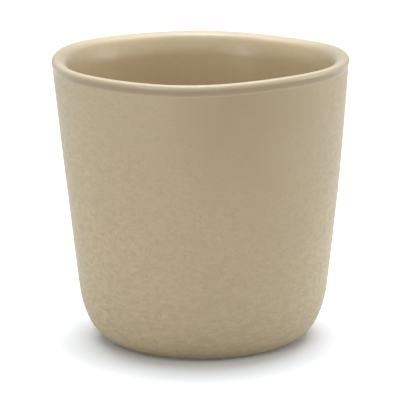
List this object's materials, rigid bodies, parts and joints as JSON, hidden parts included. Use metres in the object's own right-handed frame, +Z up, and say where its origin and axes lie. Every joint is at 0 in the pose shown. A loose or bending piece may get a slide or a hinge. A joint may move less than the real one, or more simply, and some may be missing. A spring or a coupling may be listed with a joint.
{
  "type": "coffee mug",
  "caption": "Handleless stoneware coffee mug: a round, gently tapering cup with a rounded heel and a lip rounded well down into the bore, matte glaze outside, satin glaze inside and over the lip.",
  "frame": {"origin": "centre of the foot ring's underside, on the surface that the mug stands on", "axes": "+Z up along the mug's axis; X and Y are level, and the picture looks along +Y with +X to the right"},
  "size_m": [0.086, 0.086, 0.0834],
  "materials": {
    "bare_stoneware": "bare fired buff clay, fine-grained and dull",
    "satin_glaze": "satin warm beige glaze with a soft gloss",
    "matte_glaze": "matte oat-beige glaze, faintly speckled and mottled"
  },
  "bodies": {
    "root": {"stoneware_body": "bare_stoneware", "liner_glaze": "satin_glaze", "outer_glaze": "matte_glaze", "recess_glaze": "matte_glaze"}
  },
  "joints": []
}
